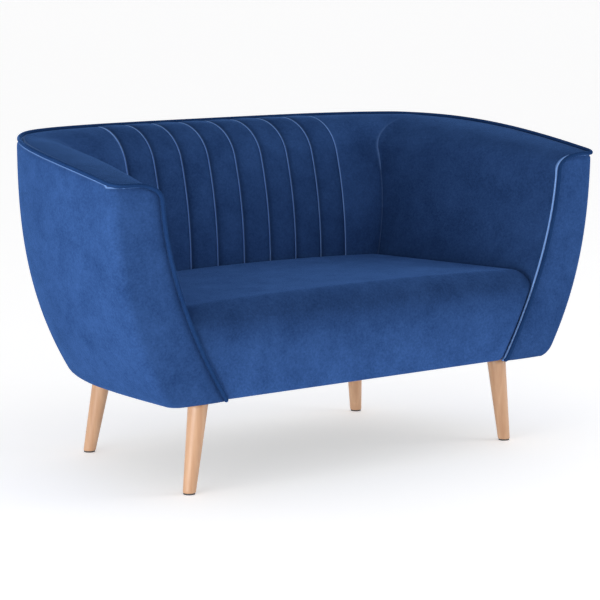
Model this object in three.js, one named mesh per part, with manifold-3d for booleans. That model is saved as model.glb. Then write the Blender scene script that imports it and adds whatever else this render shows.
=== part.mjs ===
// A two-seat tub sofa: a shell on a wooden frame that flares upwards, a channelled back, one fixed
// seat cushion on zigzag springs, and four splayed tapered legs that screw into the frame.
// Units are millimetres. +X runs along the width, to the right as seen from the front, -Y is the
// front, +Z is up, and the origin is on the floor under the middle of the overall box.
import * as THREE from "three";
import { mergeVertices } from "three/addons/utils/BufferGeometryUtils.js";
import Module from "manifold-3d";

const wasm = await Module();
wasm.setup();

// ---- Driving dimensions ----
const WIDTH = 1370; // over the piping of the two arms
const DEPTH = 670; // from the front piping to the back piping
const BACK_HEIGHT = 750; // middle of the piping along the back
const ARM_HEIGHT = 681; // middle of the piping at the front of each arm
const SHELL_BOTTOM = 205; // underside of the shell above the floor
const SEAT_HEIGHT = 411; // top of the seat at its sides
const SEAT_DEPTH = 484; // front of the shell to the backrest at seat level
const SEAT_CROWN = 12; // how far the middle of the seat stands above its sides
const SIDE_FLARE = 132; // how much wider each side is at the widest than at the underside
const BACK_FLARE = 40;
const ARM_THICKNESS = 122; // across the top of an arm's front
const ARM_FACE_LEAN = 164; // how much further in the arm's inner face is at the underside
const ARM_CLOSING = 122; // how much further in its inner face is at the back, near its top
const ARM_FOOT_CLOSING = 25; // and at the underside
const FLARE_POWER = 2.7; // a higher power keeps the sides upright for longer
const PLAN_POWER = 3.7; // exponent of the superellipse that the plan of the shell follows
const CORNER_RADIUS = 25; // front vertical edges of the arms
const BOTTOM_ROUND = 22; // where the cover turns under the shell
const COVER = 10; // board, wadding and velvet of the outside panels
const PIPE_RADIUS = 4;
const PIPE_SIDES = 5;
const PIPE_STEPS = 92;
const CLEARANCE = 0.4; // between touching pieces
const FINEST = 0.05; // detail under this size is dropped after a cut
const SKIN = 2.4; // velvet with its backing
const PAD = 36; // foam and cover of the arms and the back
const ARM_ROLL = 46; // height of the rounded top of the arms at their front
const BACK_ROLL = 72; // and of the back
const ARM_ROLL_POWER = 2.7; // squarer at the arms' front than the ellipse along the back
const CHANNELS = 8;
const CHANNEL_BULGE = 9;
const PLAIN_STRETCH = 83.4; // from the channels to the arm, at the foot of the backrest
const LEAN = 45; // how far the backrest leans back
const RIM_LEVEL = 78; // how far in front of the back the rim stops being level
const PLY = 18;
const PLY_GAP = 2; // between the plywood and the covers or pads round it
const RAIL = 20;
const RAIL_HEIGHT = 68;
const RAIL_LIFT = 3; // of the rails above the underside of the shell
const LEG_TOP_RADIUS = 22.5;
const LEG_FOOT_RADIUS = 14.2;
const GLIDE = 3;
const BOLT_RADIUS = 4;
const TEE_FLANGE_RADIUS = 10;
const SPRINGS = 6;
const SPRING_LOOPS = 9; // odd, so that the two ends lie on opposite sides
const SPRING_HALF_LOOP = 24;
const STRIP_MARGIN = 16; // of the clip strips past the outermost springs
const WIRE_RADIUS = 1.9;
const SPRING_ARCH = 6; // rise of the springs in the middle
const FELT = 3;

// ---- Places worked out from them ----
const PIPE_PROUD = 2 * PIPE_RADIUS + CLEARANCE; // the front piping stands in front of the shell
const FRONT = -DEPTH / 2 + PIPE_PROUD;
const HALF_WIDTH = WIDTH / 2 - CLEARANCE;
const SHELL_DEPTH = DEPTH - PIPE_PROUD - CLEARANCE;
const ROOF = BACK_HEIGHT + 100; // above everything, for cutting tools
const ARM_FALL = BACK_HEIGHT - ARM_HEIGHT;
const FALL_START = FRONT + SHELL_DEPTH - RIM_LEVEL; // behind this depth the rim is level
const CORNER_SHARE = 0.85; // where on the plan the arms hand over to the back
const CORNER_DEPTH_SHARE = (1 - CORNER_SHARE ** PLAN_POWER) ** (1 / PLAN_POWER);
const RAIL_BOTTOM = SHELL_BOTTOM + RAIL_LIFT;
const RAIL_TOP = RAIL_BOTTOM + RAIL_HEIGHT;
const SPRING_Z = RAIL_TOP + 6;
const FELT_TOP = SPRING_Z + SPRING_ARCH + WIRE_RADIUS + 2 * CLEARANCE + FELT;
const SEAT_UNDERSIDE = FELT_TOP + CLEARANCE; // the seat rests on the felt over the springs
const PAD_BOTTOM = SEAT_UNDERSIDE + 2;
const BACK_SEAM_SHARE = 0.62; // seam between the outside arm and the outside back

// ---- Surfaces ----
const flare = (z) => Math.max(0, (BACK_HEIGHT - z) / (BACK_HEIGHT - SHELL_BOTTOM)) ** FLARE_POWER;
const halfWidth = (z) => HALF_WIDTH - SIDE_FLARE * flare(z);
const planDepth = (z) => SHELL_DEPTH - BACK_FLARE * flare(z);

// The underside's rearmost place.
const UNDERSIDE_REAR = FRONT + planDepth(SHELL_BOTTOM);

// How far the cover draws in where it turns under the shell.
function tuck(z) {
  const below = Math.max(0, SHELL_BOTTOM + BOTTOM_ROUND - z);
  return BOTTOM_ROUND - Math.sqrt(Math.max(0, BOTTOM_ROUND ** 2 - below ** 2 * 0.9));
}

// Half-width of the shell at depth y, inset by a thickness. The front vertical edges are rounded.
function outlineX(y, z, inset = 0) {
  const a = halfWidth(z) - inset;
  const share = Math.min(1, Math.max(0, (y - FRONT) / (planDepth(z) - inset)));
  const side = a * Math.max(0, 1 - share ** PLAN_POWER) ** (1 / PLAN_POWER);
  const before = FRONT + CORNER_RADIUS - y;
  if (before <= 0) return side;
  const radius = CORNER_RADIUS - inset;
  return side - radius + Math.sqrt(Math.max(0, radius ** 2 - before ** 2));
}

// Depth of the back of the shell at x, inset by a thickness.
function outlineY(x, z, inset = 0) {
  const share = Math.min(1, Math.abs(x) / (halfWidth(z) - inset));
  return FRONT + (planDepth(z) - inset) * Math.max(0, 1 - share ** PLAN_POWER) ** (1 / PLAN_POWER);
}

// Height of the piping along the rim: level along the back and falling forwards along the arms.
function rimZ(y) {
  const share = Math.max(0, (FALL_START - y) / (FALL_START - FRONT));
  return BACK_HEIGHT - ARM_FALL * share ** 1.5;
}

// The rounded tops grow from the arms' to the back's: their height and the power of their curve.
const ROLL_GROWN = FRONT + SHELL_DEPTH * CORNER_DEPTH_SHARE - 15;
const rollShare = (y) => Math.min(1, Math.max(0, (y - FRONT) / (ROLL_GROWN - FRONT))) ** 2;
const rollHeight = (y) => ARM_ROLL + (BACK_ROLL - ARM_ROLL) * rollShare(y);
const rollPower = (y) => ARM_ROLL_POWER + (2 - ARM_ROLL_POWER) * rollShare(y);

// Inner face of an arm. It leans out as it rises, and the arms close in towards the back.
const belowArm = (z) => Math.max(0, (ARM_HEIGHT - z) / (ARM_HEIGHT - SHELL_BOTTOM));
const armFrontX = (z) => HALF_WIDTH - ARM_THICKNESS - ARM_FACE_LEAN * belowArm(z) ** 1.85;
function armX(y, z) {
  const closing = ARM_CLOSING - (ARM_CLOSING - ARM_FOOT_CLOSING) * belowArm(z) ** 2.4;
  return armFrontX(z) - (closing * (y - FRONT)) / (SEAT_DEPTH + PAD);
}

// Face of the backrest, upright at the seat and leaning back above it.
const LEAN_FROM = SEAT_HEIGHT - 11;
const LEAN_TO = BACK_HEIGHT - 57;
function backY(z) {
  const share = Math.max(0, (z - LEAN_FROM) / (LEAN_TO - LEAN_FROM));
  return FRONT + SEAT_DEPTH + LEAN * share ** 2.2;
}

// The channels share what is left between the two plain stretches beside the arms.
const SEAM_X = armX(FRONT + SEAT_DEPTH, PAD_BOTTOM) - PLAIN_STRETCH; // outermost seam
const CHANNEL_PITCH = (2 * SEAM_X) / CHANNELS;

// ---- Geometry helpers ----
function toSolid(geometry) {
  const bare = geometry.index ? geometry.toNonIndexed() : geometry.clone();
  bare.deleteAttribute("normal");
  bare.deleteAttribute("uv");
  const merged = mergeVertices(bare, 1e-3);
  return new wasm.Manifold(
    new wasm.Mesh({
      numProp: 3,
      vertProperties: Float32Array.from(merged.attributes.position.array),
      triVerts: Uint32Array.from(merged.index.array),
    }),
  );
}

function toGeometry(solid) {
  const mesh = solid.getMesh();
  const position = new Float32Array(mesh.numVert * 3);
  for (let i = 0; i < mesh.numVert; i++) {
    position.set(mesh.vertProperties.subarray(i * mesh.numProp, i * mesh.numProp + 3), i * 3);
  }
  return new THREE.BufferGeometry()
    .setAttribute("position", new THREE.BufferAttribute(position, 3))
    .setIndex(new THREE.BufferAttribute(mesh.triVerts, 1));
}

function volumeOf(geometry) {
  const p = geometry.attributes.position;
  const corner = [0, 1, 2].map(() => new THREE.Vector3());
  let sum = 0;
  for (let i = 0; i < geometry.index.count; i += 3) {
    corner.forEach((c, k) => c.fromBufferAttribute(p, geometry.index.getX(i + k)));
    sum += corner[0].dot(corner[1].cross(corner[2]));
  }
  return sum / 6;
}

// A block of nu x nv x nw cells whose vertices are moved by place(u, v, w), each from 0 to 1.
function warpedBlock(nu, nv, nw, place) {
  const block = new THREE.BoxGeometry(1, 1, 1, nu, nv, nw);
  block.deleteAttribute("normal");
  block.deleteAttribute("uv");
  const geometry = mergeVertices(block, 1e-4);
  const p = geometry.attributes.position;
  for (let i = 0; i < p.count; i++) {
    p.setXYZ(i, ...place(p.getX(i) + 0.5, p.getY(i) + 0.5, p.getZ(i) + 0.5));
  }
  if (volumeOf(geometry) < 0) {
    turnFaces(geometry.index.array);
  }
  return geometry;
}

// Swaps two corners of every triangle, so that each faces the other way.
function turnFaces(index) {
  for (let i = 0; i < index.length; i += 3) [index[i + 1], index[i + 2]] = [index[i + 2], index[i + 1]];
}

function box(x0, x1, y0, y1, z0, z1) {
  const middle = [(x0 + x1) / 2, (y0 + y1) / 2, (z0 + z1) / 2];
  return new THREE.BoxGeometry(x1 - x0, y1 - y0, z1 - z0).translate(...middle);
}

// An outline of [x, y] points raised from z0 to z1, with round holes [x, y, radius].
function plate(points, z0, z1, holes = []) {
  const shape = new THREE.Shape(points.map(([x, y]) => new THREE.Vector2(x, y)));
  for (const [x, y, r] of holes) {
    shape.holes.push(new THREE.Path().absarc(x, y, r, 0, 2 * Math.PI, true));
  }
  const raised = { depth: z1 - z0, bevelEnabled: false, curveSegments: 6 };
  return new THREE.ExtrudeGeometry(shape, raised).translate(0, 0, z0);
}

// A side view of [y, z] points carried along X from x0 to x1.
function carriedAlongX(points, x0, x1) {
  const shape = new THREE.Shape(points.map(([y, z]) => new THREE.Vector2(y, z)));
  const turn = new THREE.Matrix4().set(0, 0, 1, x0, 1, 0, 0, 0, 0, 1, 0, 0, 0, 0, 0, 1);
  return new THREE.ExtrudeGeometry(shape, { depth: x1 - x0, bevelEnabled: false }).applyMatrix4(turn);
}

// A piece trimmed back by its neighbours; offcuts are dropped.
function trimmed(solid, ...neighbours) {
  let rest = solid;
  for (const neighbour of neighbours) rest = rest.subtract(neighbour);
  const bodies = rest.simplify(FINEST).decompose();
  return bodies.reduce((best, body) => (body.volume() > best.volume() ? body : best));
}

// A piece with the clearance added all round, for cutting its room out of another.
function grown(solid) {
  const steps = [-CLEARANCE, CLEARANCE];
  const shifts = steps.flatMap((d) => [[d, 0, 0], [0, d, 0], [0, 0, d]]);
  return shifts.reduce((sum, shift) => sum.add(solid.translate(shift)), solid);
}

// A solid of revolution from [radius, height] points, its axis turned from +Z to a direction.
function turned(profile, sides, base, axis) {
  const points = profile.map(([r, h]) => new THREE.Vector2(r, h));
  const turn = new THREE.Quaternion().setFromUnitVectors(new THREE.Vector3(0, 1, 0), axis);
  return new THREE.LatheGeometry(points, sides).applyQuaternion(turn).translate(base.x, base.y, base.z);
}

function mirrored(geometry) {
  const copy = geometry.clone().scale(-1, 1, 1);
  if (!copy.index) copy.setIndex([...Array(copy.attributes.position.count).keys()]);
  turnFaces(copy.index.array);
  return copy;
}

const mirroredSolid = (solid) => toSolid(mirrored(toGeometry(solid)));

// ---- Materials ----
function finish(color, roughness, metalness = 0) {
  return new THREE.MeshStandardMaterial({ color, roughness, metalness });
}
const velvet = finish(0x1f3f86, 0.75);
const beech = finish(0xd9a679, 0.45);
const plywood = finish(0xc9a878, 0.7);
const pine = finish(0xd8b98a, 0.75);
const steel = finish(0x9a9da1, 0.35, 1);
const springSteel = finish(0x5b5d60, 0.4, 1);
const foam = finish(0xe9dfb9, 0.9);
const felt = finish(0x777a7c, 0.95);
const cambric = finish(0x202124, 0.9);
const nylon = finish(0x3a3a3c, 0.6);

const sofa = new THREE.Group();
function add(name, geometry, material) {
  const mesh = new THREE.Mesh(geometry, material);
  mesh.name = name;
  sofa.add(mesh);
}
// Makes the right-hand piece and its mirror image.
function addPair(name, geometry, material) {
  add(`${name}_right`, geometry, material);
  add(`${name}_left`, mirrored(geometry), material);
}

// ---- Pads: the inner faces with their rounded tops ----
const FACE_ROWS = 4;
const ROLL_ROWS = 4;
const ROWS = FACE_ROWS + ROLL_ROWS;
const mix = (a, b, t) => a + (b - a) * t;

// One profile from PAD_BOTTOM up the face and over the roll. at(z, d) gives [x, y] of the face at a
// height and a depth d into the pad; rim is the [x, y, z] where the pad ends under the piping.
function padPoint(row, depth, at, rim) {
  const roll = rollHeight(rim[1]);
  const rollFrom = rim[2] - roll;
  if (row <= FACE_ROWS) {
    const z = mix(PAD_BOTTOM, rollFrom, row / FACE_ROWS);
    return [...at(z, depth * PAD), z];
  }
  const angle = ((row - FACE_ROWS) / ROLL_ROWS) * (Math.PI / 2);
  const curve = 2 / rollPower(rim[1]);
  const inwards = Math.sign(Math.cos(angle)) * Math.abs(Math.cos(angle)) ** curve;
  const front = at(rollFrom, 0);
  const rear = at(rollFrom, PAD);
  const along = (row - FACE_ROWS) / ROLL_ROWS;
  const outer = [0, 1].map((k) => rim[k] + (front[k] - rim[k]) * inwards);
  const inner = [0, 1].map((k) => mix(rear[k], rim[k], along));
  const z = rollFrom + roll * Math.sin(angle) ** curve;
  return [mix(outer[0], inner[0], depth), mix(outer[1], inner[1], depth), mix(z, rollFrom, depth)];
}

const PAD_EDGE = COVER + 1; // the pads end inside the outside panels
const PAD_RIM_DROP = 3;
const cornerX = (z, inset = 0) => (halfWidth(z) - inset) * CORNER_SHARE;

function armPadPoint(share, row, depth) {
  const from = FRONT + COVER + CLEARANCE;
  const rimCornerY = FRONT + planDepth(BACK_HEIGHT) * CORNER_DEPTH_SHARE - PAD_EDGE;
  const y = mix(from, rimCornerY, share);
  const rim = [outlineX(y, rimZ(y), PAD_EDGE) - 0.5, y, rimZ(y) - PAD_RIM_DROP - CLEARANCE / 2];
  const at = (z, d) => {
    const faceY = mix(from, backY(z) + d, share);
    return [armX(faceY, z) + d, faceY];
  };
  return padPoint(row, depth, at, rim);
}

function backPadPoint(x, bulge, row, depth) {
  const at = (z, d) => [x, backY(z) + d - bulge * Math.max(0, 1 - d / PAD)];
  const rimY = outlineY(x, BACK_HEIGHT, PAD_EDGE);
  return padPoint(row, depth, at, [x, rimY, BACK_HEIGHT - PAD_RIM_DROP]);
}

// The plain stretch between the last channel and the arm; share 0 is the seam and 1 the corner.
function sidePadPoint(share, row, depth) {
  const rimX = mix(SEAM_X, cornerX(BACK_HEIGHT) - PAD_EDGE - CLEARANCE, share);
  const rim = [rimX, outlineY(rimX, BACK_HEIGHT, PAD_EDGE), BACK_HEIGHT - PAD_RIM_DROP];
  const at = (z, d) => {
    const y = backY(z) + d;
    return [mix(SEAM_X, armX(y, z) + d - 2 * CLEARANCE, share), y];
  };
  return padPoint(row, depth, at, rim);
}

// Across the whole back: side stretch, channels, side stretch.
const SIDE_CELLS = 3;
const CELLS_PER_CHANNEL = 4;
const BACK_CELLS = 2 * SIDE_CELLS + CHANNELS * CELLS_PER_CHANNEL;
function channelledPoint(cell, row, depth) {
  if (cell < SIDE_CELLS) {
    const [x, y, z] = sidePadPoint(1 - cell / SIDE_CELLS, row, depth);
    return [-x, y, z];
  }
  if (cell > BACK_CELLS - SIDE_CELLS) {
    return sidePadPoint((cell - BACK_CELLS + SIDE_CELLS) / SIDE_CELLS, row, depth);
  }
  const along = (cell - SIDE_CELLS) / CELLS_PER_CHANNEL;
  const across = along - Math.floor(along);
  const bulge = CHANNEL_BULGE * Math.sqrt(Math.max(0, 1 - (2 * across - 1) ** 2)) * (across > 0 ? 1 : 0);
  return backPadPoint(-SEAM_X + along * CHANNEL_PITCH, bulge, row, depth);
}

// The same back with no channels, in one cell for each channel.
const PLAIN_CELLS = 2 * SIDE_CELLS + CHANNELS;
function plainPoint(cell, row, depth) {
  const inChannels = Math.min(CHANNELS, Math.max(0, cell - SIDE_CELLS));
  return channelledPoint(cell + inChannels * (CELLS_PER_CHANNEL - 1), row, depth);
}

const ARM_CELLS = 5;
const armPoint = (cell, row, depth) => armPadPoint(cell / ARM_CELLS, row, depth);

// A pad between two depths; over makes its edges overrun by that share of a cell, for cutting tools.
function padSolid(cells, point, from, to, over = 0) {
  const overrun = (at, last) => at + (at === 0 ? -over : at === last ? over : 0);
  return toSolid(
    warpedBlock(cells, ROWS, 1, (u, v, w) =>
      point(overrun(Math.round(u * cells), cells), overrun(Math.round(v * ROWS), ROWS), mix(from, to, w)),
    ),
  );
}

const OVERRUN = 0.04;
const bothSides = (solid) => solid.add(mirroredSolid(solid));
const backRoom = bothSides(padSolid(BACK_CELLS, channelledPoint, -0.03, 1.05, 0.03));
const armRoom = padSolid(ARM_CELLS, armPoint, -0.03, 1.05, 0.02);

// Foam over the frame, and over it a cover whose channels are filled with wadding.
function addPads() {
  const foamShare = (SKIN + CLEARANCE) / PAD;
  const armFoam = padSolid(ARM_CELLS, armPoint, foamShare, 1);
  const armCover = padSolid(ARM_CELLS, armPoint, 0, 0.9).subtract(
    grown(armFoam).add(padSolid(ARM_CELLS, armPoint, SKIN / PAD, 1.02, OVERRUN)),
  );
  const backFoam = padSolid(PLAIN_CELLS, plainPoint, foamShare, 1);
  const backCover = padSolid(BACK_CELLS, channelledPoint, 0, 0.9).subtract(
    grown(backFoam).add(padSolid(PLAIN_CELLS, plainPoint, SKIN / PAD, 1.02, OVERRUN)),
  );
  const backTaken = backRoom.add(bothSides(grown(backFoam)));
  addPair("inner_arm_cover", toGeometry(trimmed(armCover, panelRoom, backTaken)), velvet);
  addPair("inner_arm_foam", toGeometry(trimmed(armFoam, panelRoom, backTaken)), foam);
  add("channelled_back_cover", toGeometry(trimmed(backCover, bothPanelsRoom)), velvet);
  add("channelled_back_foam", toGeometry(trimmed(backFoam, bothPanelsRoom)), foam);
}

// ---- Outside panels ----
const ARM_RISE = ARM_HEIGHT - SHELL_BOTTOM;
const HIGHER_LEVELS = [0.13, 0.24, 0.39, 0.58, 0.78].map((share) => share * ARM_RISE);
const LEVELS = [0, BOTTOM_ROUND / 3, BOTTOM_ROUND, ...HIGHER_LEVELS];
function levelZ(row, top) {
  const raised = SHELL_BOTTOM + (LEVELS[row] ?? 0);
  return row < LEVELS.length ? Math.min(raised, top - 20 * (LEVELS.length - row)) : top;
}

// Top edge of a panel: just under the piping, and no higher than the roll at the arm's front.
const panelTop = (y) => rimZ(y) - PIPE_RADIUS - CLEARANCE;

// Height of the roll over x on the front of an arm.
const ARM_FRONT_RIM_X = HALF_WIDTH - CORNER_RADIUS;
function armEdgeX(z) {
  const rollFrom = ARM_HEIGHT - ARM_ROLL;
  if (z <= rollFrom) return armFrontX(z);
  const rise = Math.min(1, (z - rollFrom) / ARM_ROLL);
  const inwards = (1 - rise ** ARM_ROLL_POWER) ** (1 / ARM_ROLL_POWER);
  return ARM_FRONT_RIM_X - (ARM_FRONT_RIM_X - armFrontX(rollFrom)) * inwards;
}

const ARC_CELLS = 3;
const SIDE_PANEL_CELLS = 7;
const REAR_CELLS = 3;
const PANEL_CELLS = ARC_CELLS + SIDE_PANEL_CELLS + REAR_CELLS;
function sidePanelXY(cell, z, inset) {
  const drawn = inset + tuck(z);
  if (cell <= ARC_CELLS) {
    const radius = CORNER_RADIUS - inset;
    const angle = (cell / ARC_CELLS) * (Math.PI / 2);
    const side = outlineX(FRONT + CORNER_RADIUS, z, drawn);
    return [side - radius + radius * Math.sin(angle), FRONT + CORNER_RADIUS - radius * Math.cos(angle)];
  }
  const handover = FRONT + (planDepth(z) - drawn) * CORNER_DEPTH_SHARE;
  if (cell <= ARC_CELLS + SIDE_PANEL_CELLS) {
    const y = mix(FRONT + CORNER_RADIUS, handover, (cell - ARC_CELLS) / SIDE_PANEL_CELLS);
    return [outlineX(y, z, drawn), y];
  }
  const share = mix(CORNER_SHARE, BACK_SEAM_SHARE, (cell - ARC_CELLS - SIDE_PANEL_CELLS) / REAR_CELLS);
  const x = share * (halfWidth(z) - drawn);
  return [x, outlineY(x, z, drawn)];
}

// The outside of an arm from its front to the seam at the back; grown leaves the clearance inside it.
function sidePanel(grown) {
  return warpedBlock(PANEL_CELLS, LEVELS.length, 1, (u, v, w) => {
    const cell = Math.round(u * PANEL_CELLS);
    const [, yTop] = sidePanelXY(cell, ARM_HEIGHT, 0);
    const z = levelZ(Math.round(v * LEVELS.length), panelTop(yTop) + (grown ? 2 * CLEARANCE : 0));
    return [...sidePanelXY(cell, z, w * (COVER + (grown ? CLEARANCE : 0))), z];
  });
}

// The flat front of an arm, from the inner edge to the rounded outer edge.
function frontPanel(grown) {
  const rolled = [0.15, 0.35, 0.6, 0.8, 0.92].map((share) => ARM_HEIGHT - ARM_ROLL + share * ARM_ROLL);
  const heights = [...LEVELS.map((rise) => SHELL_BOTTOM + rise), ...rolled];
  const inner = heights.filter((z) => z < panelTop(FRONT));
  const lap = COVER * 0.7; // how far it runs into the rounded edge
  const outerX = (z) => halfWidth(z) - tuck(z) - CORNER_RADIUS + lap;
  const outer = inner.filter((z) => armEdgeX(z) < outerX(z) - 2 * lap).reverse();
  const points = [...inner.map((z) => [armEdgeX(z), z]), ...outer.map((z) => [outerX(z), z])];
  const depth = COVER + (grown ? CLEARANCE : 0);
  const shape = new THREE.Shape(points.map(([x, z]) => new THREE.Vector2(x, z)));
  const face = new THREE.ExtrudeGeometry(shape, { depth, bevelEnabled: false });
  return face.rotateX(Math.PI / 2).translate(0, FRONT + depth, 0);
}

const REAR_PANEL_CELLS = 10;
function rearPanel(grown) {
  return warpedBlock(REAR_PANEL_CELLS, LEVELS.length, 1, (u, v, w) => {
    const z = levelZ(Math.round(v * LEVELS.length), panelTop(DEPTH / 2) + (grown ? 2 * CLEARANCE : 0));
    const inset = w * (COVER + (grown ? CLEARANCE : 0)) + tuck(z);
    const reach = BACK_SEAM_SHARE * (halfWidth(z) - inset) - (grown ? 0 : CLEARANCE);
    const x = mix(-reach, reach, u);
    return [x, outlineY(x, z, inset), z];
  });
}

// What the right-hand panel and the back panel take up, with clearance, for trimming the pieces inside.
const panelRoom = toSolid(sidePanel(true)).add(toSolid(frontPanel(true))).add(toSolid(rearPanel(true)));

const bothPanelsRoom = bothSides(panelRoom);

function addOutsidePanels() {
  const side = toSolid(sidePanel(false)).add(toSolid(frontPanel(false)));
  addPair("outside_arm_panel", toGeometry(side), velvet);
  add("outside_back_panel", rearPanel(false), velvet);
}

// ---- Seat ----
const SEAT_GAP = 5; // between the seat and the arms
const APRON = 18; // upholstery in front of the front rail
const NOSE = 42; // radius of the front top edge
const SEAT_REAR = FRONT + SEAT_DEPTH - CHANNEL_BULGE - 1;

// The seat block down to the underside of the shell, with the room for the base frame cut out of it.
// shrink draws in the faces that show, and spill pushes out the ones that don't.
function seatSolid(shrink, spill) {
  const y0 = FRONT + shrink;
  const rear = SEAT_REAR + spill;
  const bottom = SHELL_BOTTOM + 2 + (spill ? -spill : shrink);
  const noseSteps = [0, 0.09, 0.34, 0.66, 1];
  const topSteps = [0.3, 0.65, 1];
  const deep = noseSteps.map((step) => y0 + step * NOSE);
  deep.push(...topSteps.map((t) => mix(y0 + NOSE, rear, t)));
  const [across, tall] = [10, 7];
  const block = warpedBlock(across, deep.length - 1, tall, (u, v, w) => {
    const y = deep[Math.round(v * (deep.length - 1))];
    const side = 2 * u - 1;
    const before = Math.max(0, y0 + NOSE - y);
    const fall = NOSE - Math.sqrt(Math.max(0, NOSE ** 2 - before ** 2));
    const top = SEAT_HEIGHT - shrink + SEAT_CROWN * (1 - side ** 2) - fall;
    const z = mix(bottom, top, w);
    return [side * (armX(y, z) - SEAT_GAP - shrink), y, z];
  });
  const room = box(-WIDTH, WIDTH, FRONT + APRON + spill, ROOF, -ROOF, SEAT_UNDERSIDE - spill);
  return toSolid(block).subtract(toSolid(room));
}

function addSeat() {
  const cover = seatSolid(0, 0).subtract(seatSolid(SKIN, 6));
  add("seat_cover", toGeometry(cover), velvet);
  add("seat_foam", toGeometry(seatSolid(SKIN + 2 * CLEARANCE, 0)), foam);
}

// ---- Wooden frame ----
// Frame pieces are cut to fit inside the pads and the panels.
const fitted = (geometry) => toGeometry(trimmed(toSolid(geometry), bothPanelsRoom, armRoom, backRoom));
const FRONT_RAIL_Y = FRONT + APRON + 1;
const BACK_RAIL_Y = UNDERSIDE_REAR - 61.2;
const coverInside = (y, z) => outlineX(y, z, COVER + tuck(z));
const BACK_RAIL_REACH = coverInside(BACK_RAIL_Y + RAIL, RAIL_TOP) - 6;
const SIDE_RAIL_REAR = BACK_RAIL_Y - 60;
const sideRailX = (y) => {
  const front = coverInside(FRONT + 120, RAIL_BOTTOM) - 36;
  const rear = coverInside(SIDE_RAIL_REAR, RAIL_BOTTOM) - 2;
  return mix(front, rear, (y - FRONT_RAIL_Y) / (SIDE_RAIL_REAR - FRONT_RAIL_Y));
};

function addBaseFrame() {
  const stumpInside = armFrontX(RAIL_BOTTOM) + PAD;
  const frontReach = stumpInside - 1;
  const rail = (reach, y) => box(-reach, reach, y, y + RAIL, RAIL_BOTTOM, RAIL_TOP);
  add("front_seat_rail", rail(frontReach, FRONT_RAIL_Y), pine);
  add("back_seat_rail", fitted(rail(BACK_RAIL_REACH, BACK_RAIL_Y)), pine);
  const y0 = FRONT_RAIL_Y + RAIL + CLEARANCE;
  const y1 = SIDE_RAIL_REAR;
  const side = [
    [sideRailX(y0) - RAIL, y0],
    [sideRailX(y0), y0],
    [sideRailX(y1), y1],
    [sideRailX(y1) - RAIL, y1],
  ];
  addPair("side_seat_rail", fitted(plate(side, RAIL_BOTTOM, RAIL_TOP)), pine);
  const stretcherTop = RAIL_TOP - 24; // the springs flex above it
  add(
    "centre_stretcher",
    box(-RAIL / 2, RAIL / 2, y0, BACK_RAIL_Y - CLEARANCE, RAIL_BOTTOM, stretcherTop),
    pine,
  );
}

// The front frame of an arm: plywood cut to the shape of the arm's front, inside its covers.
function addArmFrames() {
  const margin = 1.5;
  const topZ = ARM_HEIGHT - ARM_ROLL - margin;
  const heights = [0, 0.1, 0.22, 0.36, 0.52, 0.69, 0.83, 1].map((t) => mix(RAIL_BOTTOM, topZ, t));
  const y = FRONT + COVER + 2 * CLEARANCE;
  const innerX = (z) => armX(y + PLY, z) + PAD + margin + 1;
  const outerX = (z) => outlineX(y, z, COVER) - margin - tuck(z);
  const inner = heights.map((z) => new THREE.Vector2(innerX(z), z));
  const outer = heights.toReversed().map((z) => new THREE.Vector2(outerX(z), z));
  const shape = new THREE.Shape([...inner, ...outer]);
  const stump = new THREE.ExtrudeGeometry(shape, { depth: PLY, bevelEnabled: false })
    .rotateX(Math.PI / 2)
    .translate(0, y + PLY, 0);
  addPair("arm_front_frame", fitted(stump), plywood);

  // Rear arm post: across the hollow of the arm, between its pad and its outside panel.
  const postY = FRONT + SEAT_DEPTH - 89;
  const postRows = 6;
  const postLap = 12; // the least that its foot stands over the side rail
  const post = warpedBlock(1, postRows, 1, (u, v, w) => {
    const yy = postY + w * PLY;
    const z = mix(RAIL_TOP + 1, rimZ(postY) - rollHeight(postY) - PLY - 8, v);
    const inside = armX(yy, z) + PAD + PLY_GAP;
    const from = v === 0 ? Math.min(inside, sideRailX(yy) - postLap) : inside;
    return [mix(from, outlineX(yy, z, COVER) - PLY_GAP, u), yy, z];
  });
  addPair("arm_rear_post", fitted(post), plywood);
}

// Top rails: boards under the rolls, cut to the curve of the rim.
function addTopRails() {
  const armCells = 6;
  const fromY = FRONT + COVER + PLY + 4 * CLEARANCE;
  const toY = FRONT + SEAT_DEPTH - 14;
  const arm = warpedBlock(1, armCells, 1, (u, v, w) => {
    const y = mix(fromY, toY, v);
    const z = rimZ(y) - rollHeight(y) - PAD_RIM_DROP - PLY_GAP - PLY * (1 - w);
    const from = armX(y, z) + PAD + PLY_GAP + 1;
    return [mix(from, outlineX(y, z, COVER) - PLY_GAP, u), y, z];
  });
  addPair("arm_top_rail", fitted(arm), plywood);
  const backCells = 8;
  const lap = 5.5; // onto the outside arm panels, past their seam with the back
  const reach = BACK_SEAM_SHARE * HALF_WIDTH + lap;
  const back = warpedBlock(backCells, 1, 1, (u, v, w) => {
    const x = mix(-reach, reach, u);
    const z = BACK_HEIGHT - BACK_ROLL - PAD_RIM_DROP - PLY_GAP - PLY * (1 - w);
    return [x, mix(backY(z) + PAD + PLY_GAP + 1, outlineY(x, z, COVER) - PLY_GAP, v), z];
  });
  add("back_top_rail", back, plywood);
}

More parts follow.
